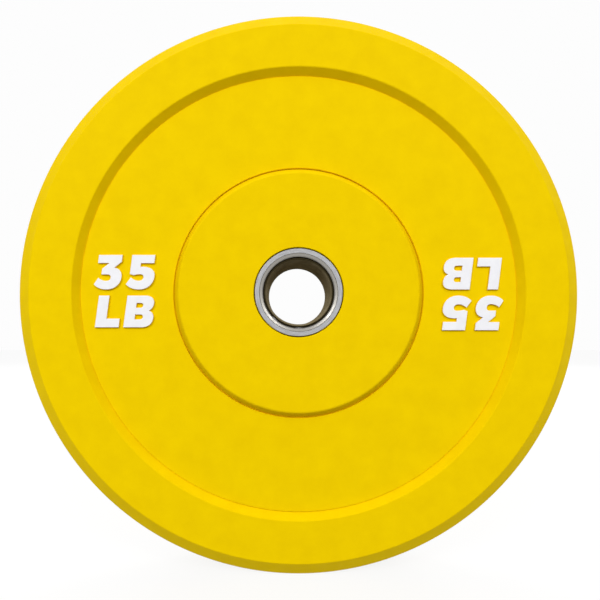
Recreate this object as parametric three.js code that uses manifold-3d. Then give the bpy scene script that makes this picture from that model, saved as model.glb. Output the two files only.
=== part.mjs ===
// A rubber bumper plate for a weightlifting bar. Lengths are in millimetres.
// The plate stands upright like a wheel: its axis lies along Y, its front face looks to -Y and Z is up.
// The origin is the middle of the plate, on the axis of the bore.

import * as THREE from 'three';
import { mergeVertices } from 'three/addons/utils/BufferGeometryUtils.js';
import Module from 'manifold-3d';

// Rubber body, measured inwards from the tread and outwards from the hub
const plateDiameter = 450;
const plateThickness = 66;
const shoulderWidth = 11;
const shoulderDepth = 7;
const treadEdgeRadius = 2;
const rimBandWidth = 33.7;
const recessDepth = 5;
const recessWallRun = 4.4;
const recessGrooveRun = 1.4;
const recessGrooveDepth = 0.4;
const hubDiscDiameter = 191.2;
const hubDiscWallRun = 4;
const discGrooveRun = 1.6;
const discGrooveDepth = 0.9;
const faceEdgeRadius = 1.6;
const pocketEdgeRadius = 0.6;

// Steel hub
const boreDiameter = 50.6;
const sleeveWall = 2.9;
const sleeveSetback = 2.4;
const sleeveChamferRun = 1.3;
const sleeveChamferDepth = 1.5;
const flareLength = 6;
const flangeThickness = 6;
const flangeFaceWidth = 4.1;
const flangeEdgeChamfer = 0.4;
const lipRun = 2.3;
const lipDepth = 2;

// Perforated steel plate that keys the hub into the rubber
const anchorReach = 34;
const anchorThickness = 4;
const anchorHoleDiameter = 14;
const anchorHoleCount = 8;

// White characters of the weight mark
const markRise = 1.8;
const markRowGap = 4.8;
const markSlant = THREE.MathUtils.degToRad(7.4);
const markMarginShare = 0.175;
const markRadiusShare = 0.516;
const markGapShare = 0.15;
const letterHeightShare = 0.918;

// Clearances between the pieces
const pressClearance = 0.2;
const rubberClearance = 0.3;
const flangeGap = 0.9;
const cutOverrun = 1;

// Flats round each turned shape, and steps along each small curve
const bodySides = 80;
const hubSides = 48;
const holeSides = 16;
const edgeSteps = 2;
const flareSteps = 5;
const lipSteps = 4;
const markCurveSteps = 4;

// Radii and levels that several pieces share
const halfThickness = plateThickness / 2;
const treadRadius = plateDiameter / 2;
const rimBandOuterRadius = treadRadius - shoulderWidth;
const rimBandInnerRadius = rimBandOuterRadius - rimBandWidth;
const recessFloorOuterRadius = rimBandInnerRadius - recessWallRun - recessGrooveRun;
const hubDiscRadius = hubDiscDiameter / 2;
const recessFloorInnerRadius = hubDiscRadius + hubDiscWallRun + discGrooveRun;
const recessFloorWidth = recessFloorOuterRadius - recessFloorInnerRadius;
const recessFloorLevel = halfThickness - recessDepth;
const markRadius = recessFloorInnerRadius + recessFloorWidth * markRadiusShare;
const boreRadius = boreDiameter / 2;
const sleeveRadius = boreRadius + sleeveWall;
const sleeveEndLevel = halfThickness - sleeveSetback;
const flangeBoreRadius = sleeveRadius + pressClearance;
const flangeRadius = flangeBoreRadius + lipRun + flangeFaceWidth;
const flangeSeatLevel = halfThickness - flangeThickness;
const anchorRadius = sleeveRadius + anchorReach;
const anchorInnerRadius = sleeveRadius + pressClearance;
const anchorHoleCircleRadius = (anchorInnerRadius + anchorRadius) / 2;

// Characters as shares of their own height, upright, with the origin at the left end of the baseline.
// Two numbers are a straight run to a corner. Six are a curve: its two handles, then its end.
// Outlines run clockwise, and the holes in them the other way.
const three = {
  widthShare: 0.77,
  outlineShares: [
    [0.04, 1], [0.72, 1], [0.72, 0.8], [0.53, 0.63],
    [0.68, 0.61, 0.77, 0.5, 0.77, 0.36],
    [0.77, 0.14, 0.61, 0, 0.38, 0],
    [0.24, 0, 0.09, 0.05, 0, 0.15],
    [0.1, 0.34],
    [0.18, 0.28, 0.26, 0.25, 0.34, 0.25],
    [0.42, 0.25, 0.46, 0.29, 0.46, 0.345],
    [0.46, 0.4, 0.42, 0.435, 0.36, 0.435],
    [0.18, 0.435], [0.18, 0.6], [0.37, 0.765], [0.04, 0.765],
  ],
  holeShares: [],
};
const five = {
  widthShare: 0.8,
  outlineShares: [
    [0.08, 1], [0.745, 1], [0.745, 0.76], [0.36, 0.76], [0.36, 0.655],
    [0.62, 0.68, 0.8, 0.57, 0.8, 0.385],
    [0.8, 0.15, 0.64, 0, 0.4, 0],
    [0.26, 0, 0.1, 0.05, 0, 0.155],
    [0.12, 0.35],
    [0.2, 0.285, 0.28, 0.255, 0.36, 0.255],
    [0.44, 0.255, 0.485, 0.295, 0.485, 0.35],
    [0.485, 0.41, 0.44, 0.44, 0.37, 0.44],
    [0.3, 0.44, 0.25, 0.43, 0.2, 0.41],
    [0.08, 0.45],
  ],
  holeShares: [],
};
const letterL = {
  widthShare: 0.745,
  outlineShares: [[0, 1], [0.33, 1], [0.33, 0.275], [0.745, 0.275], [0.745, 0], [0, 0]],
  holeShares: [],
};
const letterB = {
  widthShare: 0.9,
  outlineShares: [
    [0, 1], [0.55, 1],
    [0.76, 1, 0.865, 0.9, 0.865, 0.76],
    [0.865, 0.65, 0.82, 0.57, 0.735, 0.525],
    [0.84, 0.485, 0.9, 0.41, 0.9, 0.3],
    [0.9, 0.11, 0.78, 0, 0.55, 0],
    [0, 0],
  ],
  holeShares: [
    [[0.32, 0.765], [0.32, 0.615], [0.46, 0.615], [0.56, 0.615, 0.56, 0.765, 0.46, 0.765]],
    [[0.32, 0.405], [0.32, 0.25], [0.49, 0.25], [0.6, 0.25, 0.6, 0.405, 0.49, 0.405]],
  ],
};

const digitRow = [['digit_3', three], ['digit_5', five]];
const letterRow = [['letter_l', letterL], ['letter_b', letterB]];

// Finishes
const yellowRubber = new THREE.MeshStandardMaterial({ color: 0xf0ce02, roughness: 0.55, metalness: 0 });
const whiteRubber = new THREE.MeshStandardMaterial({ color: 0xf0f0f4, roughness: 0.6, metalness: 0 });
const brushedSteel = new THREE.MeshStandardMaterial({ color: 0xbfbfbe, roughness: 0.35, metalness: 1 });
const oiledSteel = new THREE.MeshStandardMaterial({ color: 0x6e6450, roughness: 0.45, metalness: 1 });
const plainSteel = new THREE.MeshStandardMaterial({ color: 0x8c8c8e, roughness: 0.5, metalness: 1 });

// Solid joining and cutting
const wasm = await Module();
wasm.setup();

function toSolid(geometry) {
  const bare = geometry.clone();
  bare.deleteAttribute('normal');
  bare.deleteAttribute('uv');
  const merged = mergeVertices(bare);
  return new wasm.Manifold(new wasm.Mesh({
    numProp: 3,
    vertProperties: new Float32Array(merged.attributes.position.array),
    triVerts: new Uint32Array(merged.index.array),
  }));
}

function toGeometry(solid) {
  const mesh = solid.getMesh();
  const geometry = new THREE.BufferGeometry();
  geometry.setAttribute('position', new THREE.BufferAttribute(mesh.vertProperties, 3));
  geometry.setIndex(new THREE.BufferAttribute(mesh.triVerts, 1));
  geometry.computeVertexNormals();
  return geometry;
}

// A corner of a turned outline: its radius from the axis, its level along the axis and its rounding.
function corner(radius, level, rounding = 0) {
  return { point: new THREE.Vector2(radius, level), rounding };
}

// Replaces each rounded corner of a closed outline by an arc tangent to its two sides.
// The arc takes at most half of the shorter side.
function roundCorners(corners) {
  return corners.flatMap(({ point, rounding }, i) => {
    if (rounding === 0) return [point];
    const toBefore = corners.at(i - 1).point.clone().sub(point);
    const toAfter = corners[(i + 1) % corners.length].point.clone().sub(point);
    const halfAngle = toBefore.angleTo(toAfter) / 2;
    const shorterSide = Math.min(toBefore.length(), toAfter.length());
    const reach = Math.min(rounding / Math.tan(halfAngle), shorterSide / 2);
    const radius = reach * Math.tan(halfAngle);
    toBefore.normalize();
    toAfter.normalize();
    const middle = toBefore.clone().add(toAfter).normalize();
    const centre = point.clone().addScaledVector(middle, radius / Math.sin(halfAngle));
    const start = point.clone().addScaledVector(toBefore, reach).sub(centre).angle();
    const end = point.clone().addScaledVector(toAfter, reach).sub(centre).angle();
    const sweep = THREE.MathUtils.euclideanModulo(end - start + Math.PI, 2 * Math.PI) - Math.PI;
    return Array.from({ length: edgeSteps + 1 }, (_, step) => {
      const angle = start + (sweep * step) / edgeSteps;
      return new THREE.Vector2(Math.cos(angle), Math.sin(angle)).multiplyScalar(radius).add(centre);
    });
  });
}

// The front half of an outline, followed by the same half mirrored to the rear.
function bothFaces(frontHalf) {
  const rearHalf = frontHalf.map(({ point, rounding }) => corner(point.x, -point.y, rounding));
  return [...frontHalf, ...rearHalf.reverse()];
}

// Turns a closed outline round Y. The middle of each flat lies at the stated radius, and a flat
// faces each of +X, -X, +Z and -Z.
function turned(outline, sides) {
  const overFlats = 1 / Math.cos(Math.PI / sides);
  const points = outline.map((point) => new THREE.Vector2(point.x * overFlats, point.y));
  points.push(points[0].clone());
  return new THREE.LatheGeometry(points, sides, Math.PI / sides);
}

// The yellow rubber, one moulding with a pocket for each flange and a groove inside for the anchor plate.
// Rubber posts cross the groove through the anchor plate's holes.
// The mould left a shallow groove at the foot of the hub disc and at the foot of the recess wall.
function makeRubberBody() {
  const front = [
    corner(sleeveRadius + rubberClearance, -flangeSeatLevel),
    corner(flangeRadius + flangeGap, -flangeSeatLevel),
    corner(flangeRadius + flangeGap, -halfThickness, pocketEdgeRadius),
    corner(hubDiscRadius, -halfThickness, faceEdgeRadius),
    corner(hubDiscRadius + hubDiscWallRun, -recessFloorLevel + discGrooveDepth),
    corner(recessFloorInnerRadius, -recessFloorLevel),
    corner(recessFloorOuterRadius, -recessFloorLevel),
    corner(rimBandInnerRadius - recessWallRun, -recessFloorLevel + recessGrooveDepth),
    corner(rimBandInnerRadius, -halfThickness, faceEdgeRadius),
    corner(rimBandOuterRadius, -halfThickness, faceEdgeRadius),
    corner(treadRadius, -halfThickness + shoulderDepth, treadEdgeRadius),
  ];
  const body = toSolid(turned(roundCorners(bothFaces(front)), bodySides));
  const grooveLevel = anchorThickness / 2 + rubberClearance;
  const groove = toSolid(turned([
    new THREE.Vector2(sleeveRadius - cutOverrun, -grooveLevel),
    new THREE.Vector2(anchorRadius + rubberClearance, -grooveLevel),
    new THREE.Vector2(anchorRadius + rubberClearance, grooveLevel),
    new THREE.Vector2(sleeveRadius - cutOverrun, grooveLevel),
  ], hubSides));
  const posts = anchorHoles(anchorHoleDiameter / 2 - rubberClearance, 2 * (grooveLevel + cutOverrun));
  return toGeometry(body.subtract(posts.reduce((left, post) => left.subtract(post), groove)));
}

// Round pegs at the places of the anchor plate's holes.
function anchorHoles(radius, length) {
  return Array.from({ length: anchorHoleCount }, (_, i) => {
    const angle = (2 * Math.PI * i) / anchorHoleCount;
    const peg = new THREE.CylinderGeometry(radius, radius, length, holeSides);
    peg.translate(anchorHoleCircleRadius * Math.cos(angle), 0, anchorHoleCircleRadius * Math.sin(angle));
    return toSolid(peg);
  });
}

function makeAnchorPlate() {
  const disc = toSolid(turned([
    new THREE.Vector2(anchorInnerRadius, -anchorThickness / 2),
    new THREE.Vector2(anchorRadius, -anchorThickness / 2),
    new THREE.Vector2(anchorRadius, anchorThickness / 2),
    new THREE.Vector2(anchorInnerRadius, anchorThickness / 2),
  ], hubSides));
  const holes = anchorHoles(anchorHoleDiameter / 2, anchorThickness + 2 * cutOverrun);
  return toGeometry(holes.reduce((left, hole) => left.subtract(hole), disc));
}

// The tube that lines the bore. At each end its bore widens in a curve to a thin nose, and a chamfer
// outside the nose leaves a narrow crevice between the tube and its flange.
function makeSleeve() {
  const flare = new THREE.QuadraticBezierCurve(
    new THREE.Vector2(boreRadius, -sleeveEndLevel + flareLength),
    new THREE.Vector2(boreRadius, -sleeveEndLevel + flareLength / 2),
    new THREE.Vector2(sleeveRadius - sleeveChamferRun, -sleeveEndLevel),
  );
  const frontHalf = flare.getPoints(flareSteps).map((point) => corner(point.x, point.y));
  frontHalf.push(corner(sleeveRadius, -sleeveEndLevel + sleeveChamferDepth));
  return turned(bothFaces(frontHalf).map(({ point }) => point), hubSides);
}

// The ring pressed over each end of the sleeve, down onto the rubber: a flat face, and a lip that
// rounds over into the ring's own bore.
function makeFlange() {
  const lip = Array.from({ length: lipSteps + 1 }, (_, step) => {
    const angle = (Math.PI / 2) * (step / lipSteps);
    return new THREE.Vector2(
      flangeBoreRadius + lipRun * (1 - Math.cos(angle)),
      -halfThickness + lipDepth * (1 - Math.sin(angle)),
    );
  });
  return turned([
    new THREE.Vector2(flangeBoreRadius, -flangeSeatLevel),
    ...lip,
    new THREE.Vector2(flangeRadius - flangeEdgeChamfer, -halfThickness),
    new THREE.Vector2(flangeRadius, -halfThickness + flangeEdgeChamfer),
    new THREE.Vector2(flangeRadius, -flangeSeatLevel),
  ], hubSides);
}

// Draws one closed line of a character, slanted, at a height.
function drawLine(path, shares, height) {
  const place = (across, up) => [(across + up * Math.tan(markSlant)) * height, up * height];
  path.moveTo(...place(...shares[0]));
  for (const share of shares.slice(1)) {
    const points = [];
    for (let i = 0; i < share.length; i += 2) points.push(...place(share[i], share[i + 1]));
    if (points.length === 2) path.lineTo(...points);
    else path.bezierCurveTo(...points);
  }
  return path;
}

function makeCharacter(character, height) {
  const shape = drawLine(new THREE.Shape(), character.outlineShares, height);
  shape.holes = character.holeShares.map((hole) => drawLine(new THREE.Path(), hole, height));
  return new THREE.ExtrudeGeometry(shape, {
    depth: markRise,
    bevelEnabled: false,
    curveSegments: markCurveSteps,
  });
}

function addMesh(group, name, geometry, material) {
  const mesh = new THREE.Mesh(geometry, material);
  mesh.name = name;
  group.add(mesh);
  return mesh;
}

// Width of a row of characters, as a share of its height
function rowWidthShare(row) {
  return row.reduce((sum, [, character]) => sum + character.widthShare, markGapShare * (row.length - 1));
}

// Adds a row of characters left of the axis, standing on the recess floor.
// The row is centred by what shows of it, slant and all.
function addMarkRow(group, prefix, row, height, baseline) {
  const rowBox = new THREE.Box3();
  let across = 0;
  const pieces = row.map(([name, character]) => {
    const geometry = makeCharacter(character, height);
    geometry.translate(across, 0, 0);
    geometry.computeBoundingBox();
    rowBox.union(geometry.boundingBox);
    across += (character.widthShare + markGapShare) * height;
    return addMesh(group, `${prefix}_${name}`, geometry, whiteRubber);
  });
  const middle = (rowBox.min.x + rowBox.max.x) / 2;
  for (const piece of pieces) {
    piece.rotation.x = Math.PI / 2;
    piece.position.set(-markRadius - middle, -recessFloorLevel, baseline);
  }
}

// One weight mark: the number over the unit, with the gap between them level with the axis.
// The number fills the recess floor's width between equal margins.
function makeMark(prefix) {
  const mark = new THREE.Group();
  const digitHeight = (recessFloorWidth * (1 - 2 * markMarginShare)) / rowWidthShare(digitRow);
  const letterHeight = digitHeight * letterHeightShare;
  addMarkRow(mark, prefix, digitRow, digitHeight, markRowGap / 2);
  addMarkRow(mark, prefix, letterRow, letterHeight, -markRowGap / 2 - letterHeight);
  return mark;
}

const plate = new THREE.Group();
addMesh(plate, 'rubber_body', makeRubberBody(), yellowRubber);
addMesh(plate, 'hub_sleeve', makeSleeve(), oiledSteel);
addMesh(plate, 'anchor_plate', makeAnchorPlate(), plainSteel);

for (const [face, faceTurn] of [['front', 0], ['rear', Math.PI]]) {
  const side = new THREE.Group();
  side.rotation.z = faceTurn;
  plate.add(side);
  addMesh(side, `${face}_hub_flange`, makeFlange(), brushedSteel);
  for (const [place, markTurn] of [['left', 0], ['right', Math.PI]]) {
    const mark = makeMark(`${face}_${place}`);
    mark.rotation.y = markTurn;
    side.add(mark);
  }
}

export default plate;
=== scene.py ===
"""Looks of a rubber bumper plate for a weightlifting bar, dressed over its fixed model.

The plate stands upright with its bore along Y and its front face towards -Y, in metres, with Z up.
Sizes are in millimetres until a mesh or a lamp takes them.
"""

from math import pi, radians, sin, tan

import bmesh
import bpy
from mathutils import Matrix, Vector


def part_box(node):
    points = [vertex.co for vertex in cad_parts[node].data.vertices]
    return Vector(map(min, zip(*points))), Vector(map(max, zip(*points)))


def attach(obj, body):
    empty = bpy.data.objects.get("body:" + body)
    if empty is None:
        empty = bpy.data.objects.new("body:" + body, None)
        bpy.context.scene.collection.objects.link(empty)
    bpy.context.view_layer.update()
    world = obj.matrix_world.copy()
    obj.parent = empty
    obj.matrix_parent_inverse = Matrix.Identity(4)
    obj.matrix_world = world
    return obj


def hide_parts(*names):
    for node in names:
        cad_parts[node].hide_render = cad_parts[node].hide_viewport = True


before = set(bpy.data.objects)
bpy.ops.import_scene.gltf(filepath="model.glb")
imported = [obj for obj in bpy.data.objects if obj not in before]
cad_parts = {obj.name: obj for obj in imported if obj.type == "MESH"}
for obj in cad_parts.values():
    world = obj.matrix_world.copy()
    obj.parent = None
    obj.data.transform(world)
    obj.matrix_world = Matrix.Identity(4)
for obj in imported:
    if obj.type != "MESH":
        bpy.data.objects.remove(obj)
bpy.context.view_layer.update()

MM = 0.001

# Sizes of the rubber. The walls, the disc's edge and the grooves follow the photograph more closely than
# the model's do.
SHOULDER_WIDTH = 11
SHOULDER_DEPTH = 7
TREAD_EDGE_RADIUS = 2
RIM_BAND_WIDTH = 33.7
RECESS_DEPTH = 5
RECESS_WALL_RUN = 5.3
RECESS_GROOVE_DEPTH = 1.2
HUB_DISC_RADIUS = 95.6
HUB_DISC_WALL_RUN = 4.6
DISC_EDGE_RADIUS = 2.4
DISC_GROOVE_DEPTH = 2.1
FACE_EDGE_RADIUS = 1.6
POCKET_EDGE_RADIUS = 0.6
GROOVE_EDGE_RADIUS = 0.2
GROOVE_FLANK_RUN = 0.3

# Sizes of the steel. The flare and the lip follow the photograph more closely than the model's do.
SLEEVE_WALL = 2.9
SLEEVE_CHAMFER_RUN = 1.3
SLEEVE_CHAMFER_DEPTH = 1.5
SLEEVE_NOSE_RADIUS = 0.1
FLARE_LENGTH = 8
FLANGE_EDGE_RADIUS = 0.4
LIP_RUN = 3
LIP_DEPTH = 2
LIP_STEP_RUN = 0.5
LIP_STEP_DEPTH = 0.6
LIP_BEND_RUN = 0.7
LIP_BEND_DEPTH = 1.25
LIP_EDGE_RADIUS = 0.5
LIP_STEP_RADIUS = 0.1
ANCHOR_HOLE_RADIUS = 7
ANCHOR_HOLE_COUNT = 8

# Sizes of the raised characters. The cap is the part that is white.
MARK_SLANT = radians(7.4)
MARK_EDGE_RADIUS = 0.25
MARK_CAP = 0.3

# Clearances between the pieces
PRESS_CLEARANCE = 0.2
RUBBER_CLEARANCE = 0.3
FLANGE_GAP = 0.9

# Steps round each turned piece and along each curve
BODY_STEPS = 256
HUB_STEPS = 160
HOLE_STEPS = 40
ARC_STEPS = 8
FLARE_STEPS = 20
MARK_CURVE_STEPS = 14
MARK_EDGE_STEPS = 4

# How near points merge and cuts find them, and the least bend between faces that shows as an edge
MERGE_DISTANCE = 0.001
CUT_TOLERANCE = 0.0001
SHARP_EDGE_ANGLE = radians(32)

# Radii and levels taken from the model's own pieces
TREAD_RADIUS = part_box("rubber_body")[1].x / MM
HALF_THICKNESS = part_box("rubber_body")[1].y / MM
SLEEVE_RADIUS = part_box("hub_sleeve")[1].x / MM
SLEEVE_END_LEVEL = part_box("hub_sleeve")[1].y / MM
FLANGE_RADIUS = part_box("rear_hub_flange")[1].x / MM
FLANGE_SEAT_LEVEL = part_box("rear_hub_flange")[0].y / MM
ANCHOR_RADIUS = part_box("anchor_plate")[1].x / MM
ANCHOR_HALF_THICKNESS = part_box("anchor_plate")[1].y / MM
MARK_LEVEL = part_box("rear_left_digit_3")[1].y / MM

RIM_BAND_OUTER_RADIUS = TREAD_RADIUS - SHOULDER_WIDTH
RIM_BAND_INNER_RADIUS = RIM_BAND_OUTER_RADIUS - RIM_BAND_WIDTH
RECESS_LEVEL = HALF_THICKNESS - RECESS_DEPTH
FLANGE_BORE_RADIUS = SLEEVE_RADIUS + PRESS_CLEARANCE
GROOVE_HALF_WIDTH = ANCHOR_HALF_THICKNESS + RUBBER_CLEARANCE
ANCHOR_HOLE_CIRCLE_RADIUS = (FLANGE_BORE_RADIUS + ANCHOR_RADIUS) / 2

# Characters as shares of their height, upright. Two numbers are a corner at the end of a straight run.
# Six are a curve: its two handles, then its end.
THREE_SHARES = [[
    (0.04, 1), (0.72, 1), (0.72, 0.8), (0.53, 0.63),
    (0.68, 0.61, 0.77, 0.5, 0.77, 0.36),
    (0.77, 0.14, 0.61, 0, 0.38, 0),
    (0.24, 0, 0.09, 0.05, 0, 0.15),
    (0.1, 0.34),
    (0.18, 0.28, 0.26, 0.25, 0.34, 0.25),
    (0.42, 0.25, 0.46, 0.29, 0.46, 0.345),
    (0.46, 0.4, 0.42, 0.435, 0.36, 0.435),
    (0.18, 0.435), (0.18, 0.6), (0.37, 0.765), (0.04, 0.765),
]]
FIVE_SHARES = [[
    (0.08, 1), (0.745, 1), (0.745, 0.76), (0.36, 0.76), (0.36, 0.655),
    (0.62, 0.68, 0.8, 0.57, 0.8, 0.385),
    (0.8, 0.15, 0.64, 0, 0.4, 0),
    (0.26, 0, 0.1, 0.05, 0, 0.155),
    (0.12, 0.35),
    (0.2, 0.285, 0.28, 0.255, 0.36, 0.255),
    (0.44, 0.255, 0.485, 0.295, 0.485, 0.35),
    (0.485, 0.41, 0.44, 0.44, 0.37, 0.44),
    (0.3, 0.44, 0.25, 0.43, 0.2, 0.41),
    (0.08, 0.45),
]]
LETTER_L_SHARES = [[(0, 1), (0.33, 1), (0.33, 0.275), (0.745, 0.275), (0.745, 0), (0, 0)]]
LETTER_B_SHARES = [
    [
        (0, 1), (0.55, 1),
        (0.76, 1, 0.865, 0.9, 0.865, 0.76),
        (0.865, 0.65, 0.82, 0.57, 0.735, 0.525),
        (0.84, 0.485, 0.9, 0.41, 0.9, 0.3),
        (0.9, 0.11, 0.78, 0, 0.55, 0),
        (0, 0),
    ],
    [(0.32, 0.765), (0.32, 0.615), (0.46, 0.615), (0.56, 0.615, 0.56, 0.765, 0.46, 0.765)],
    [(0.32, 0.405), (0.32, 0.25), (0.49, 0.25), (0.6, 0.25, 0.6, 0.405, 0.49, 0.405)],
]
CHARACTERS = {
    "digit_3": THREE_SHARES,
    "digit_5": FIVE_SHARES,
    "letter_l": LETTER_L_SHARES,
    "letter_b": LETTER_B_SHARES,
}


# Camera, at the photograph's place and view

CAMERA_ACROSS = -10.94
CAMERA_HEIGHT = -28.77
CAMERA_DISTANCE = 385
CAMERA_PITCH = radians(0.729)
CAMERA_LENS = 29.2
CAMERA_SENSOR = 36
CAMERA_SHIFT_ACROSS = 0.0252
CAMERA_SHIFT_UP = 0.0373


def add_camera():
    lens = bpy.data.cameras.new("camera")
    lens.sensor_width = CAMERA_SENSOR
    lens.lens = CAMERA_LENS
    lens.shift_x = CAMERA_SHIFT_ACROSS
    lens.shift_y = CAMERA_SHIFT_UP
    camera = bpy.data.objects.new("camera", lens)
    bpy.context.collection.objects.link(camera)
    camera.location = Vector((CAMERA_ACROSS, -HALF_THICKNESS - CAMERA_DISTANCE, CAMERA_HEIGHT)) * MM
    camera.rotation_euler = (pi / 2 + CAMERA_PITCH, 0, 0)
    bpy.context.scene.camera = camera


# Materials

PLATE_YELLOW = "e9c502"

# Sizes of the patterns in the finishes, and how high those stand that are felt
PIGMENT_CLOUD = 16
FLOW_RIPPLE = 5
FLOW_RIPPLE_HEIGHT = 0.05
SKIN_GRAIN = 0.8
SKIN_GRAIN_HEIGHT = 0.02
WHITE_CLOUD = 7
BRUSH_MARK = 0.5
BRUSH_MARK_HEIGHT = 0.01
BRUSH_SMEAR = 3
LATHE_MARK = 0.7
LATHE_MARK_HEIGHT = 0.02
OIL_STAIN = 8
# Width of the painted shade that darkens the sleeve's mouth beside the crevice
MOUTH_PAINTED_SHADE = 0.6
MILL_SCALE = 9
MILL_SCALE_HEIGHT = 0.05

# How many marks follow one another in each radian round the bore
BRUSH_MARKS_PER_RADIAN = 5
LATHE_MARKS_PER_RADIAN = 4


def colour(hex_value):
    """Linear colour of an sRGB hex value such as "eecb02"."""
    shares = [int(hex_value[i:i + 2], 16) / 255 for i in (0, 2, 4)]
    return tuple(s / 12.92 if s <= 0.04045 else ((s + 0.055) / 1.055) ** 2.4 for s in shares) + (1,)


def per(size):
    """Scale of a pattern whose features are that many millimetres across."""
    return 1 / (size * MM)


def socket(sockets, name):
    """One of a node's sockets, by its identifier or its name."""
    return next((s for s in sockets if s.identifier == name), None) or sockets[name]


def add_node(tree, kind, inputs=None, output=None, **settings):
    """Adds a node and returns its first output, or the one named, or all of them.

    An input is a plain value, or another node's output to link to it.
    """
    made = tree.nodes.new(kind)
    for name, value in settings.items():
        setattr(made, name, value)
    for name, value in (inputs or {}).items():
        if isinstance(value, bpy.types.NodeSocket):
            tree.links.new(value, socket(made.inputs, name))
        else:
            socket(made.inputs, name).default_value = value
    if output == "all" or not made.outputs:
        return made.outputs
    return socket(made.outputs, output) if output else made.outputs[0]


def new_material(name):
    """An empty material, its node tree and the piece's own coordinates."""
    material = bpy.data.materials.new(name)
    material.use_nodes = True
    tree = material.node_tree
    tree.nodes.clear()
    return material, tree, add_node(tree, "ShaderNodeTexCoord", output="Object")


def spread(low, high, start=0.3, end=0.7):
    """What turns a pattern's usual range into the range from low to high."""
    return {"From Min": start, "From Max": end, "To Min": low, "To Max": high}


def across_axis(tree, place):
    """How far a place lies from the bore's axis, and its heading there as a unit vector."""
    flat = add_node(tree, "ShaderNodeVectorMath", {
        "Vector": place, "Vector_001": (1, 0, 1),
    }, operation="MULTIPLY")
    radius = add_node(tree, "ShaderNodeVectorMath", {"Vector": flat}, operation="LENGTH", output="Value")
    return radius, add_node(tree, "ShaderNodeVectorMath", {"Vector": flat}, operation="NORMALIZE")


def lathe_rings(tree, place, width, marks_per_radian):
    """Fine rings that a lathe tool leaves round the bore's axis, as a pattern from 0 to 1.

    They are width millimetres wide, and broken into marks, about so many to each radian.
    """
    parts = add_node(tree, "ShaderNodeSeparateXYZ", {"Vector": place}, output="all")
    radius, heading = across_axis(tree, place)
    inputs = {"Vector": heading, "Scale": marks_per_radian}
    turn = add_node(tree, "ShaderNodeVectorMath", inputs, operation="SCALE")
    turns = add_node(tree, "ShaderNodeSeparateXYZ", {"Vector": turn}, output="all")
    inputs = {"Value": radius, "Value_001": per(width)}
    out = add_node(tree, "ShaderNodeMath", inputs, operation="MULTIPLY")
    inputs = {"Value": parts["Y"], "Value_001": per(width)}
    along = add_node(tree, "ShaderNodeMath", inputs, operation="MULTIPLY")
    line = add_node(tree, "ShaderNodeCombineXYZ", {"X": out, "Y": along, "Z": turns["X"]})
    inputs = {"Vector": line, "W": turns["Z"], "Scale": 1, "Detail": 1}
    return add_node(tree, "ShaderNodeTexNoise", inputs, noise_dimensions="4D")


def yellow_rubber():
    """Vulcanised rubber, pigmented right through and pressed in a polished steel mould.

    To the eye a deep, even yellow with faint clouds where the compound flowed, and a satin skin whose
    soft gloss takes the pigment's own tint.
    """
    material, tree, place = new_material("moulded_yellow_rubber")
    clouds = add_node(tree, "ShaderNodeTexNoise", {
        "Vector": place, "Scale": per(PIGMENT_CLOUD), "Detail": 4, "Roughness": 0.6,
    })
    flow = add_node(tree, "ShaderNodeTexNoise", {
        "Vector": place, "Scale": per(FLOW_RIPPLE), "Detail": 3,
    })
    skin = add_node(tree, "ShaderNodeTexNoise", {"Vector": place, "Scale": per(SKIN_GRAIN), "Detail": 2})
    share = add_node(tree, "ShaderNodeMapRange", {"Value": clouds, **spread(0, 1)})
    pigment = add_node(tree, "ShaderNodeMix", {
        "Factor_Float": share, "A_Color": colour(PLATE_YELLOW), "B_Color": colour("efcc02"),
    }, data_type="RGBA", output="Result_Color")
    grain = add_node(tree, "ShaderNodeBump", {
        "Height": skin, "Strength": 0.2, "Distance": SKIN_GRAIN_HEIGHT * MM,
    })
    ripple = add_node(tree, "ShaderNodeBump", {
        "Height": flow, "Strength": 0.3, "Distance": FLOW_RIPPLE_HEIGHT * MM, "Normal": grain,
    })
    surface = add_node(tree, "ShaderNodeBsdfPrincipled", {
        "Base Color": pigment,
        "Roughness": add_node(tree, "ShaderNodeMapRange", {"Value": flow, **spread(0.45, 0.55)}),
        "IOR": 1.5,
        "Specular IOR Level": 0.06,
        "Specular Tint": colour("ffd820"),
        "Normal": ripple,
    })
    add_node(tree, "ShaderNodeOutputMaterial", {"Surface": surface})
    return material


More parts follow.
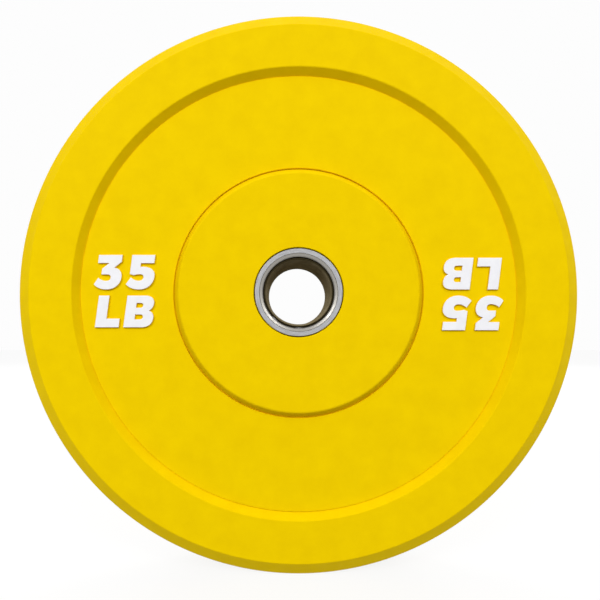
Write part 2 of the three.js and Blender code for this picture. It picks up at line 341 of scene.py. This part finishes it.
def white_rubber():
    """White vulcanised rubber, laid in the mould as a thin cap before the yellow.

    To the eye a clean cool white, more matte than the plate, with the least of clouding. Only the
    faces of the characters are white, and their sides are the yellow of the plate.
    """
    material, tree, place = new_material("moulded_white_rubber")
    clouds = add_node(tree, "ShaderNodeTexNoise", {
        "Vector": place, "Scale": per(WHITE_CLOUD), "Detail": 3,
    })
    skin = add_node(tree, "ShaderNodeTexNoise", {"Vector": place, "Scale": per(SKIN_GRAIN), "Detail": 2})
    share = add_node(tree, "ShaderNodeMapRange", {"Value": clouds, **spread(0, 1)})
    pigment = add_node(tree, "ShaderNodeMix", {
        "Factor_Float": share, "A_Color": colour("eaeaee"), "B_Color": colour("f0f0f3"),
    }, data_type="RGBA", output="Result_Color")
    parts = add_node(tree, "ShaderNodeSeparateXYZ", {"Vector": place}, output="all")
    level = add_node(tree, "ShaderNodeMath", {"Value": parts["Y"]}, operation="ABSOLUTE")
    in_cap = {"Value": level, "Value_001": (MARK_LEVEL - MARK_CAP) * MM}
    tone = add_node(tree, "ShaderNodeMix", {
        "Factor_Float": add_node(tree, "ShaderNodeMath", in_cap, operation="GREATER_THAN"),
        "A_Color": colour(PLATE_YELLOW),
        "B_Color": pigment,
    }, data_type="RGBA", output="Result_Color")
    grain = add_node(tree, "ShaderNodeBump", {
        "Height": skin, "Strength": 0.2, "Distance": SKIN_GRAIN_HEIGHT * MM,
    })
    surface = add_node(tree, "ShaderNodeBsdfPrincipled", {
        "Base Color": tone,
        "Roughness": add_node(tree, "ShaderNodeMapRange", {"Value": clouds, **spread(0.5, 0.62)}),
        "IOR": 1.5,
        "Specular IOR Level": 0.3,
        "Normal": grain,
    })
    add_node(tree, "ShaderNodeOutputMaterial", {"Surface": surface})
    return material


def turned_steel():
    """Stainless steel, faced in a lathe and brushed as it turned.

    To the eye a light neutral grey with fine rings that break up the reflections, and a lip that is
    barer and a little warmer. The real rings are finer than the render shows, so they are drawn at
    half a millimetre.
    """
    material, tree, place = new_material("turned_stainless_steel")
    rings = lathe_rings(tree, place, BRUSH_MARK, BRUSH_MARKS_PER_RADIAN)
    smears = add_node(tree, "ShaderNodeTexNoise", {
        "Vector": place, "Scale": per(BRUSH_SMEAR), "Detail": 3,
    })
    share = add_node(tree, "ShaderNodeMapRange", {"Value": rings, **spread(0, 1)})
    brushed = add_node(tree, "ShaderNodeMix", {
        "Factor_Float": share, "A_Color": colour("96979a"), "B_Color": colour("b8b8ba"),
    }, data_type="RGBA", output="Result_Color")
    radius, heading = across_axis(tree, place)
    lip_end = (FLANGE_BORE_RADIUS + LIP_RUN) * MM
    on_lip = {"Value": radius, **spread(1, 0, lip_end - LIP_STEP_RADIUS * MM, lip_end)}
    lip_share = add_node(tree, "ShaderNodeMapRange", on_lip)
    tone = add_node(tree, "ShaderNodeMix", {
        "Factor_Float": lip_share, "A_Color": brushed, "B_Color": colour("999690"),
    }, data_type="RGBA", output="Result_Color")
    bareness = add_node(tree, "ShaderNodeMapRange", {"Value": lip_share, **spread(0.35, 0.85, 0, 1)})
    surface = add_node(tree, "ShaderNodeBsdfPrincipled", {
        "Base Color": tone,
        "Metallic": bareness,
        "Roughness": add_node(tree, "ShaderNodeMapRange", {"Value": smears, **spread(0.34, 0.44)}),
        "Anisotropic": 0.3,
        "Tangent": heading,
        "Normal": add_node(tree, "ShaderNodeBump", {
            "Height": rings, "Strength": 0.15, "Distance": BRUSH_MARK_HEIGHT * MM,
        }),
    })
    add_node(tree, "ShaderNodeOutputMaterial", {"Surface": surface})
    return material


def plated_steel():
    """Zinc-plated steel tube with a yellow passivated skin, dulled by use and a film of oil.

    To the eye a dark olive brown with faint rings, that reflects next to nothing. Its mouth, beside the
    crevice, is painted nearly black as painted shade. Its rings too are drawn coarser than the real
    ones, so that they show.
    """
    material, tree, place = new_material("passivated_zinc_plated_steel")
    rings = lathe_rings(tree, place, LATHE_MARK, LATHE_MARKS_PER_RADIAN)
    stains = add_node(tree, "ShaderNodeTexNoise", {
        "Vector": place, "Scale": per(OIL_STAIN), "Detail": 4,
    })
    ring_share = add_node(tree, "ShaderNodeMapRange", {"Value": rings, **spread(0, 1)})
    stain_share = add_node(tree, "ShaderNodeMapRange", {"Value": stains, **spread(0, 0.6)})
    clean = add_node(tree, "ShaderNodeMix", {
        "Factor_Float": ring_share, "A_Color": colour("867a5e"), "B_Color": colour("988c70"),
    }, data_type="RGBA", output="Result_Color")
    stained = add_node(tree, "ShaderNodeMix", {
        "Factor_Float": stain_share, "A_Color": clean, "B_Color": colour("675936"),
    }, data_type="RGBA", output="Result_Color")
    radius, _ = across_axis(tree, place)
    # Painted shade: the tube turns nearly black over the last stretch of radius up to its nose and
    # beyond, where it meets the ring at the crevice
    nose_radius = SLEEVE_RADIUS - SLEEVE_CHAMFER_RUN
    painted_shade_at_mouth = {"Value": radius, **spread(0, 1, (nose_radius - MOUTH_PAINTED_SHADE) * MM, nose_radius * MM)}
    tone = add_node(tree, "ShaderNodeMix", {
        "Factor_Float": add_node(tree, "ShaderNodeMapRange", painted_shade_at_mouth),
        "A_Color": stained,
        "B_Color": colour("38311f"),
    }, data_type="RGBA", output="Result_Color")
    surface = add_node(tree, "ShaderNodeBsdfPrincipled", {
        "Base Color": tone,
        "Metallic": 0,
        "Specular IOR Level": 0,
        "Roughness": add_node(tree, "ShaderNodeMapRange", {"Value": stains, **spread(0.55, 0.7)}),
        "Normal": add_node(tree, "ShaderNodeBump", {
            "Height": rings, "Strength": 0.3, "Distance": LATHE_MARK_HEIGHT * MM,
        }),
    })
    add_node(tree, "ShaderNodeOutputMaterial", {"Surface": surface})
    return material


def stamped_steel():
    """Mild steel plate, hot rolled and stamped.

    To the eye a mid blue grey, blotched by the scale that rolling leaves.
    """
    material, tree, place = new_material("stamped_mild_steel")
    scale = add_node(tree, "ShaderNodeTexNoise", {
        "Vector": place, "Scale": per(MILL_SCALE), "Detail": 5, "Roughness": 0.65,
    })
    share = add_node(tree, "ShaderNodeMapRange", {"Value": scale, **spread(0, 1)})
    tone = add_node(tree, "ShaderNodeMix", {
        "Factor_Float": share, "A_Color": colour("6d7076"), "B_Color": colour("909297"),
    }, data_type="RGBA", output="Result_Color")
    surface = add_node(tree, "ShaderNodeBsdfPrincipled", {
        "Base Color": tone,
        "Metallic": 1,
        "Roughness": add_node(tree, "ShaderNodeMapRange", {"Value": scale, **spread(0.45, 0.65)}),
        "Normal": add_node(tree, "ShaderNodeBump", {
            "Height": scale, "Strength": 0.3, "Distance": MILL_SCALE_HEIGHT * MM,
        }),
    })
    add_node(tree, "ShaderNodeOutputMaterial", {"Surface": surface})
    return material


# Shapes

def add_piece(name, mesh, material):
    """Makes a shown piece of a finished bmesh, smooth but for its true edges."""
    bmesh.ops.remove_doubles(mesh, verts=mesh.verts, dist=MERGE_DISTANCE * MM)
    bmesh.ops.recalc_face_normals(mesh, faces=mesh.faces)
    data = bpy.data.meshes.new(name)
    mesh.to_mesh(data)
    mesh.free()
    data.shade_smooth()
    data.set_sharp_from_angle(angle=SHARP_EDGE_ANGLE)
    data.materials.append(material)
    piece = bpy.data.objects.new(name, data)
    bpy.context.collection.objects.link(piece)
    flats = piece.modifiers.new("flat_faces", "WEIGHTED_NORMAL")
    flats.weight = 100
    flats.keep_sharp = True
    return piece


def dress(piece, node):
    """Lets a piece stand for its node of the model."""
    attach(piece, "root")
    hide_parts(node)


def corner(radius, level, rounding=0):
    """A corner of a turned outline: its radius from the axis, its level along it and its rounding."""
    return Vector((radius, level)), rounding


def round_corners(corners):
    """Replaces each rounded corner of a closed outline by an arc tangent to its two sides."""
    points = []
    for i, (point, rounding) in enumerate(corners):
        if rounding == 0:
            points.append(point)
            continue
        to_before = corners[i - 1][0] - point
        to_after = corners[(i + 1) % len(corners)][0] - point
        half_angle = to_before.angle(to_after) / 2
        shorter_side = min(to_before.length, to_after.length)
        reach = min(rounding / tan(half_angle), shorter_side / 2)
        radius = reach * tan(half_angle)
        middle = (to_before.normalized() + to_after.normalized()).normalized()
        centre = point + middle * (radius / sin(half_angle))
        start = point + to_before.normalized() * reach - centre
        sweep = start.angle_signed(point + to_after.normalized() * reach - centre)
        for step in range(ARC_STEPS + 1):
            points.append(centre + Matrix.Rotation(-sweep * step / ARC_STEPS, 2) @ start)
    return points


def both_faces(front_half):
    """The front half of an outline, followed by the same half mirrored to the rear."""
    rear_half = [corner(point.x, -point.y, rounding) for point, rounding in front_half]
    return front_half + rear_half[::-1]


def turned(outline, steps):
    """Turns a closed outline of radii and levels round the bore's axis.

    The spin leaves the faces in an order that changes from run to run, so they are sorted by their
    lowest and highest vertex.
    """
    mesh = bmesh.new()
    verts = [mesh.verts.new((point.x * MM, point.y * MM, 0)) for point in outline]
    edges = [mesh.edges.new((verts[i - 1], vert)) for i, vert in enumerate(verts)]
    bmesh.ops.spin(
        mesh, geom=verts + edges, cent=(0, 0, 0), axis=(0, 1, 0), dvec=(0, 0, 0),
        angle=2 * pi, steps=steps, use_merge=True,
    )
    mesh.verts.index_update()
    vert_count = len(mesh.verts)
    mesh.faces.sort(key=lambda face: (
        min(vert.index for vert in face.verts) * vert_count + max(vert.index for vert in face.verts)
    ))
    return mesh


def rubber_outline():
    """The rubber's section, from the anchor plate's groove out over the front face to the tread."""
    wall = SLEEVE_RADIUS + RUBBER_CLEARANCE
    groove_end = ANCHOR_RADIUS + RUBBER_CLEARANCE
    pocket = FLANGE_RADIUS + FLANGE_GAP
    disc_foot = HUB_DISC_RADIUS + HUB_DISC_WALL_RUN
    recess_foot = RIM_BAND_INNER_RADIUS - RECESS_WALL_RUN
    front = [
        corner(groove_end, -GROOVE_HALF_WIDTH),
        corner(wall, -GROOVE_HALF_WIDTH),
        corner(wall, -FLANGE_SEAT_LEVEL),
        corner(pocket, -FLANGE_SEAT_LEVEL),
        corner(pocket, -HALF_THICKNESS, POCKET_EDGE_RADIUS),
        corner(HUB_DISC_RADIUS, -HALF_THICKNESS, DISC_EDGE_RADIUS),
        corner(disc_foot, -RECESS_LEVEL + DISC_GROOVE_DEPTH),
        corner(disc_foot + GROOVE_FLANK_RUN, -RECESS_LEVEL, GROOVE_EDGE_RADIUS),
        corner(recess_foot - GROOVE_FLANK_RUN, -RECESS_LEVEL, GROOVE_EDGE_RADIUS),
        corner(recess_foot, -RECESS_LEVEL + RECESS_GROOVE_DEPTH),
        corner(RIM_BAND_INNER_RADIUS, -HALF_THICKNESS, FACE_EDGE_RADIUS),
        corner(RIM_BAND_OUTER_RADIUS, -HALF_THICKNESS, FACE_EDGE_RADIUS),
        corner(TREAD_RADIUS, -HALF_THICKNESS + SHOULDER_DEPTH, TREAD_EDGE_RADIUS),
    ]
    return round_corners(both_faces(front))


def add_posts(piece):
    """Joins the rubber posts that cross the groove through the anchor plate's holes.

    The union leaves some points of their walls twice, so they are merged.
    """
    pegs = bmesh.new()
    radius = (ANCHOR_HOLE_RADIUS - RUBBER_CLEARANCE) * MM
    length = 2 * (GROOVE_HALF_WIDTH + RUBBER_CLEARANCE) * MM
    upright = Matrix.Rotation(pi / 2, 4, "X")
    for i in range(ANCHOR_HOLE_COUNT):
        place = Matrix.Translation((ANCHOR_HOLE_CIRCLE_RADIUS * MM, 0, 0))
        turn = Matrix.Rotation(2 * pi * i / ANCHOR_HOLE_COUNT, 4, "Y")
        bmesh.ops.create_cone(
            pegs, cap_ends=True, segments=HOLE_STEPS, radius1=radius, radius2=radius,
            depth=length, matrix=turn @ place @ upright,
        )
    data = bpy.data.meshes.new("posts")
    pegs.to_mesh(data)
    pegs.free()
    posts = bpy.data.objects.new("posts", data)
    bpy.context.collection.objects.link(posts)
    join = piece.modifiers.new("join_posts", "BOOLEAN")
    join.operation = "UNION"
    join.solver = "EXACT"
    join.object = posts
    piece.modifiers.move(len(piece.modifiers) - 1, 0)
    bpy.context.view_layer.objects.active = piece
    bpy.ops.object.modifier_apply(modifier=join.name)
    bpy.data.objects.remove(posts)
    joined = bmesh.new()
    joined.from_mesh(piece.data)
    bmesh.ops.remove_doubles(joined, verts=joined.verts, dist=MERGE_DISTANCE * MM)
    joined.to_mesh(piece.data)
    joined.free()


def add_rubber_body(material):
    piece = add_piece("moulded_body", turned(rubber_outline(), BODY_STEPS), material)
    add_posts(piece)
    dress(piece, "rubber_body")


def add_sleeve(material):
    """The tube that lines the bore, widening at each end to a thin nose."""
    bore_radius = SLEEVE_RADIUS - SLEEVE_WALL
    nose_radius = SLEEVE_RADIUS - SLEEVE_CHAMFER_RUN
    start = Vector((bore_radius, -SLEEVE_END_LEVEL + FLARE_LENGTH))
    handle = Vector((bore_radius, -SLEEVE_END_LEVEL + FLARE_LENGTH / 2))
    nose = Vector((nose_radius, -SLEEVE_END_LEVEL))
    front = []
    for step in range(FLARE_STEPS):
        share = step / FLARE_STEPS
        point = start.lerp(handle, share).lerp(handle.lerp(nose, share), share)
        front.append(corner(point.x, point.y))
    front.append(corner(nose.x, nose.y, SLEEVE_NOSE_RADIUS))
    front.append(corner(SLEEVE_RADIUS, -SLEEVE_END_LEVEL + SLEEVE_CHAMFER_DEPTH, SLEEVE_NOSE_RADIUS))
    piece = add_piece("turned_sleeve", turned(round_corners(both_faces(front)), HUB_STEPS), material)
    dress(piece, "hub_sleeve")


def add_flange(face, material):
    """The ring round one end of the bore: a flat face, a small step down and a lip that rolls in."""
    outward = -1 if face == "front" else 1
    lip_radius = FLANGE_BORE_RADIUS + LIP_RUN
    half = [
        corner(FLANGE_BORE_RADIUS, FLANGE_SEAT_LEVEL),
        corner(FLANGE_BORE_RADIUS, HALF_THICKNESS - LIP_DEPTH, LIP_EDGE_RADIUS),
        corner(FLANGE_BORE_RADIUS + LIP_BEND_RUN, HALF_THICKNESS - LIP_BEND_DEPTH, LIP_EDGE_RADIUS),
        corner(lip_radius - LIP_STEP_RUN, HALF_THICKNESS - LIP_STEP_DEPTH, LIP_EDGE_RADIUS),
        corner(lip_radius, HALF_THICKNESS, LIP_STEP_RADIUS),
        corner(FLANGE_RADIUS, HALF_THICKNESS, FLANGE_EDGE_RADIUS),
        corner(FLANGE_RADIUS, FLANGE_SEAT_LEVEL),
    ]
    outline = [Vector((point.x, point.y * outward)) for point in round_corners(half)]
    piece = add_piece(f"{face}_ring", turned(outline, HUB_STEPS), material)
    dress(piece, f"{face}_hub_flange")


def character_curve(shares, height, rise):
    """A flat curve of one character, slanted, with rounded edges above and below its middle."""
    curve = bpy.data.curves.new("character", "CURVE")
    curve.dimensions = "2D"
    curve.fill_mode = "BOTH"
    curve.resolution_u = MARK_CURVE_STEPS
    curve.extrude = rise - MARK_EDGE_RADIUS
    curve.bevel_depth = MARK_EDGE_RADIUS
    curve.bevel_resolution = MARK_EDGE_STEPS
    curve.offset = -MARK_EDGE_RADIUS
    for line in shares:
        spline = curve.splines.new("BEZIER")
        spline.bezier_points.add(len(line) - 1)
        spline.use_cyclic_u = True
        places = [
            [Vector(((run[i] + run[i + 1] * tan(MARK_SLANT)) * height, run[i + 1] * height, 0))
             for i in range(0, len(run), 2)]
            for run in line
        ]
        for i, run in enumerate(places):
            knot, before = spline.bezier_points[i], spline.bezier_points[i - 1]
            knot.handle_left_type = before.handle_right_type = "FREE"
            knot.co = run[-1]
            ahead = places[i - 1][-1]
            curved = len(run) > 1
            before.handle_right = run[0] if curved else ahead.lerp(run[-1], 1 / 3)
            knot.handle_left = run[1] if curved else ahead.lerp(run[-1], 2 / 3)
    return curve


def add_mark(face, side, name, material):
    """One raised character, moulded onto the recess floor where the model has it."""
    node = f"{face}_{side}_{name}"
    low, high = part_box(node)
    curve = character_curve(CHARACTERS[name], (high.z - low.z) / MM, (high.y - low.y) / MM)
    maker = bpy.data.objects.new("character", curve)
    bpy.context.collection.objects.link(maker)
    data = bpy.data.meshes.new_from_object(maker.evaluated_get(bpy.context.evaluated_depsgraph_get()))
    bpy.data.objects.remove(maker)
    mesh = bmesh.new()
    mesh.from_mesh(data)
    bpy.data.meshes.remove(data)
    bmesh.ops.remove_doubles(mesh, verts=mesh.verts, dist=MERGE_DISTANCE)
    whole = mesh.verts[:] + mesh.edges[:] + mesh.faces[:]
    cut = bmesh.ops.bisect_plane(
        mesh, geom=whole, dist=CUT_TOLERANCE, plane_co=(0, 0, 0), plane_no=(0, 0, 1), clear_inner=True,
    )
    foot = [part for part in cut["geom_cut"] if isinstance(part, bmesh.types.BMEdge)]
    bmesh.ops.triangle_fill(mesh, edges=foot, use_beauty=True)
    upright = Matrix.Scale(MM, 4) @ Matrix.Rotation(pi / 2, 4, "X")
    bmesh.ops.transform(mesh, matrix=upright, verts=mesh.verts)
    if side == "right":
        bmesh.ops.rotate(mesh, matrix=Matrix.Rotation(pi, 3, "Y"), verts=mesh.verts)
    if face == "rear":
        bmesh.ops.rotate(mesh, matrix=Matrix.Rotation(pi, 3, "Z"), verts=mesh.verts)
    low_now = Vector([min(vert.co[axis] for vert in mesh.verts) for axis in range(3)])
    high_now = Vector([max(vert.co[axis] for vert in mesh.verts) for axis in range(3)])
    bmesh.ops.translate(mesh, vec=(low + high - low_now - high_now) / 2, verts=mesh.verts)
    dress(add_piece(f"{face}_{side}_raised_{name}", mesh, material), node)


# Floor and light

FLOOR_SIZE = 8000
STUDIO_WHITE = "fdfdfd"
FLOOR_BOUNCE = 0.265
FLOOR_GLOW = 0.88
SKY_HEIGHT_POWER = 5
SKY_FACING_POWER = 3
SKY_FROM_SIDES = 0.35
SKY_FROM_FACES = 13
LAMP_WIDTH = 800

# Each lamp's name, place and power in watts. All of them look at the plate's middle.
LAMPS = [
    ("front_left_lamp", (-1200, -1915, 1070), 21.5),
    ("front_right_lamp", (1135, -1915, 1135), 16.5),
    ("rear_left_lamp", (-1135, 1915, 1135), 16.5),
    ("rear_right_lamp", (1200, 1915, 1070), 21.5),
]


def seen_ray(tree):
    """1 for rays from the camera, a reflection or through glass, and 0 for those that only light."""
    ray = add_node(tree, "ShaderNodeLightPath", output="all")
    inputs = {"Value": ray["Is Camera Ray"], "Value_001": ray["Is Glossy Ray"]}
    either = add_node(tree, "ShaderNodeMath", inputs, operation="MAXIMUM")
    inputs = {"Value": either, "Value_001": ray["Is Transmission Ray"]}
    return add_node(tree, "ShaderNodeMath", inputs, operation="MAXIMUM")


def add_floor():
    """A white studio floor.

    Seen directly or in a reflection it glows nearly white, less its soft shadow. For light that only
    bounces it glows evenly, at a lower level.
    """
    material, tree, _ = new_material("studio_floor")
    bounce = add_node(tree, "ShaderNodeEmission", {"Strength": FLOOR_BOUNCE})
    pale = add_node(tree, "ShaderNodeBsdfDiffuse", {"Color": colour(STUDIO_WHITE)})
    glow = add_node(tree, "ShaderNodeEmission", {"Color": colour(STUDIO_WHITE)})
    inputs = {"Fac": FLOOR_GLOW, "Shader": pale, "Shader_001": glow}
    white = add_node(tree, "ShaderNodeMixShader", inputs)
    inputs = {"Fac": seen_ray(tree), "Shader": bounce, "Shader_001": white}
    surface = add_node(tree, "ShaderNodeMixShader", inputs)
    add_node(tree, "ShaderNodeOutputMaterial", {"Surface": surface})
    mesh = bmesh.new()
    bmesh.ops.create_grid(mesh, x_segments=1, y_segments=1, size=FLOOR_SIZE * MM / 2)
    bmesh.ops.translate(mesh, vec=(0, 0, -TREAD_RADIUS * MM), verts=mesh.verts)
    data = bpy.data.meshes.new("floor")
    mesh.to_mesh(data)
    mesh.free()
    data.materials.append(material)
    floor = bpy.data.objects.new("floor", data)
    bpy.context.collection.objects.link(floor)


def add_surroundings():
    """A white studio. Its soft light grows with height, and from the sides towards the plate's faces."""
    world = bpy.data.worlds.new("studio")
    bpy.context.scene.world = world
    world.use_nodes = True
    tree = world.node_tree
    tree.nodes.clear()
    heading = add_node(tree, "ShaderNodeTexCoord", output="Generated")
    parts = add_node(tree, "ShaderNodeSeparateXYZ", {"Vector": heading}, output="all")
    height = add_node(tree, "ShaderNodeMapRange", {"Value": parts["Z"], **spread(0, 1, -1, 1)})
    inputs = {"Value": height, "Value_001": SKY_HEIGHT_POWER}
    rise = add_node(tree, "ShaderNodeMath", inputs, operation="POWER")
    outward = add_node(tree, "ShaderNodeMath", {"Value": parts["Y"]}, operation="ABSOLUTE")
    inputs = {"Value": outward, "Value_001": SKY_FACING_POWER}
    facing = add_node(tree, "ShaderNodeMath", inputs, operation="POWER")
    across = spread(SKY_FROM_SIDES, SKY_FROM_FACES, 0, 1)
    width = add_node(tree, "ShaderNodeMapRange", {"Value": facing, **across})
    level = add_node(tree, "ShaderNodeMath", {"Value": rise, "Value_001": width}, operation="MULTIPLY")
    white = add_node(tree, "ShaderNodeBackground", {"Color": colour(STUDIO_WHITE), "Strength": 1})
    soft = add_node(tree, "ShaderNodeBackground", {"Color": colour("ffffff"), "Strength": level})
    inputs = {"Fac": seen_ray(tree), "Shader": soft, "Shader_001": white}
    mixed = add_node(tree, "ShaderNodeMixShader", inputs)
    add_node(tree, "ShaderNodeOutputWorld", {"Surface": mixed})


def add_lamp(name, place, watts):
    light = bpy.data.lights.new(name, "AREA")
    light.size = LAMP_WIDTH * MM
    light.energy = watts
    lamp = bpy.data.objects.new(name, light)
    bpy.context.collection.objects.link(lamp)
    lamp.location = Vector(place) * MM
    lamp.rotation_euler = (-Vector(place)).to_track_quat("-Z", "Y").to_euler()


# The whole plate

add_camera()
bpy.context.scene.view_settings.view_transform = "Standard"

add_rubber_body(yellow_rubber())
add_sleeve(plated_steel())
ring_steel = turned_steel()
mark_rubber = white_rubber()
for face in ("front", "rear"):
    add_flange(face, ring_steel)
    for side in ("left", "right"):
        for name in CHARACTERS:
            add_mark(face, side, name, mark_rubber)

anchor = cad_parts["anchor_plate"]
anchor.data.materials.clear()
anchor.data.materials.append(stamped_steel())

add_floor()
add_surroundings()
for lamp in LAMPS:
    add_lamp(*lamp)
